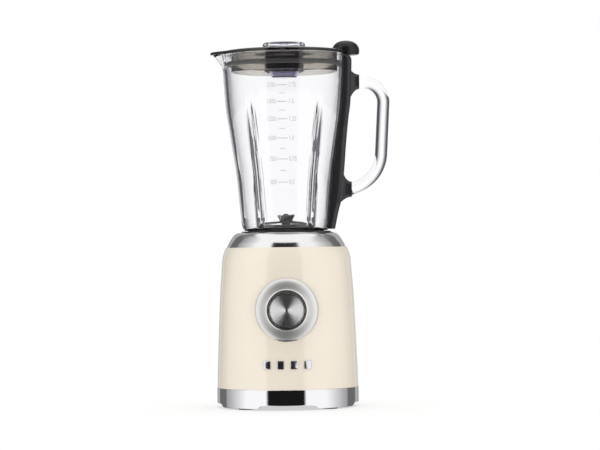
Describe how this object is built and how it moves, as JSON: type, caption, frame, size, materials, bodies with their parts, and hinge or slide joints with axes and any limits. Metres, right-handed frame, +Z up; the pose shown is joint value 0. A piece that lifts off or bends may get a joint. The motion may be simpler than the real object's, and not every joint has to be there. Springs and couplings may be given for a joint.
{
  "type": "countertop blender",
  "caption": "Countertop blender: round painted motor base with a speed knob, lift-off glass jug with side handle and pouring spout, smoked lid and clear filler cap.",
  "frame": {"origin": "on the bench, under the middle of the round base, in the plane of the four rubber pads", "axes": "+Z up along the motor and jug axis; -Y is the front with the speed knob; +X is the handle side, -X the pouring spout"},
  "size_m": [0.2057, 0.184, 0.42],
  "materials": {
    "cream_enamel": "gloss cream paint",
    "chrome_band": "polished chrome",
    "collar_steel": "finely turned steel",
    "bezel_metal": "satin dished metal",
    "knob_face_metal": "spun, radial highlights",
    "knob_black": "gloss black",
    "spine_black": "satin black moulding",
    "seat_black": "fine-textured black moulding",
    "jug_glass": "clear pressed glass",
    "lid_smoke": "dark smoked translucent plastic",
    "tab_black": "gloss black",
    "cap_clear": "clear plastic with a faint violet tint",
    "seal_rubber": "soft black rubber",
    "gasket_silicone": "translucent white silicone",
    "foot_rubber": "matt rubber",
    "blade_steel": "ground stainless steel",
    "coupler_black": "hard black rubber",
    "bush_bronze": "sintered bronze",
    "brush_brass": "stamped brass",
    "carbon": "pressed carbon",
    "copper": "enamelled copper",
    "core_steel": "laminated electrical steel",
    "zinc_steel": "zinc-plated steel",
    "fan_plastic": "moulded nylon",
    "board_green": "glass-fibre board"
  },
  "bodies": {
    "base": {"foot_pads": "foot_rubber", "base_plate": "seat_black", "base_screws": "zinc_steel", "base_band": "chrome_band", "body_shell": "cream_enamel", "top_collar": "collar_steel", "jar_seat": "seat_black", "seat_screws": "zinc_steel", "stator_core": "core_steel", "field_coils": "copper", "lower_motor_bracket": "zinc_steel", "upper_motor_bracket": "zinc_steel", "motor_screws": "zinc_steel", "motor_dampers": "seal_rubber", "lower_bearing": "bush_bronze", "upper_bearing": "bush_bronze", "brush_holders": "brush_brass", "carbon_brushes": "carbon", "circuit_board": "board_green", "selector_switch": "fan_plastic", "knob_bezel": "bezel_metal", "badges": "chrome_band", "cord_gland": "seat_black"},
    "rotor": {"motor_shaft": "zinc_steel", "armature_core": "core_steel", "armature_windings": "copper", "commutator": "copper", "cooling_fan": "fan_plastic", "drive_coupler": "coupler_black"},
    "knob": {"knob_grip": "knob_black", "knob_face": "knob_face_metal", "knob_spindle": "zinc_steel"},
    "jug": {"jar_glass": "jug_glass", "handle_spine": "spine_black", "upper_ferrule": "spine_black", "lower_ferrule": "spine_black", "glass_handle": "jug_glass", "jar_base_ring": "seat_black", "jar_gasket": "gasket_silicone", "blade_base": "blade_steel", "blade_bush": "bush_bronze"},
    "blades": {"blade_spindle": "blade_steel", "lower_blade": "blade_steel", "upper_blade": "blade_steel", "blade_washer": "blade_steel", "blade_nut": "blade_steel", "driven_coupler": "coupler_black"},
    "lid": {"lid_plate": "lid_smoke", "lid_seal": "seal_rubber", "lid_thumb_tab": "tab_black"},
    "cap": {"measuring_cap": "cap_clear"}
  },
  "joints": [
    {"name": "motor_spin", "type": "hinge", "parent": "base", "child": "rotor", "pos_m": [0, 0, 0.1], "axis": [0, 0, 1], "continuous": true},
    {"name": "knob_turn", "type": "hinge", "parent": "base", "child": "knob", "pos_m": [0, -0.1, 0.1125], "axis": [0, -1, 0], "range_deg": [-150, 30]},
    {"name": "jug_lift", "type": "slide", "parent": "base", "child": "jug", "axis": [0, 0, 1], "range_m": [0, 0.12]},
    {"name": "blade_spin", "type": "hinge", "parent": "jug", "child": "blades", "pos_m": [0, 0, 0.2], "axis": [0, 0, 1], "continuous": true},
    {"name": "lid_lift", "type": "slide", "parent": "jug", "child": "lid", "axis": [0, 0, 1], "range_m": [0, 0.08]},
    {"name": "cap_lift", "type": "slide", "parent": "lid", "child": "cap", "axis": [0, 0, 1], "range_m": [0, 0.06]}
  ],
  "couplings": [
    {"joint": "blade_spin", "follows": "motor_spin", "ratio": 1}
  ]
}
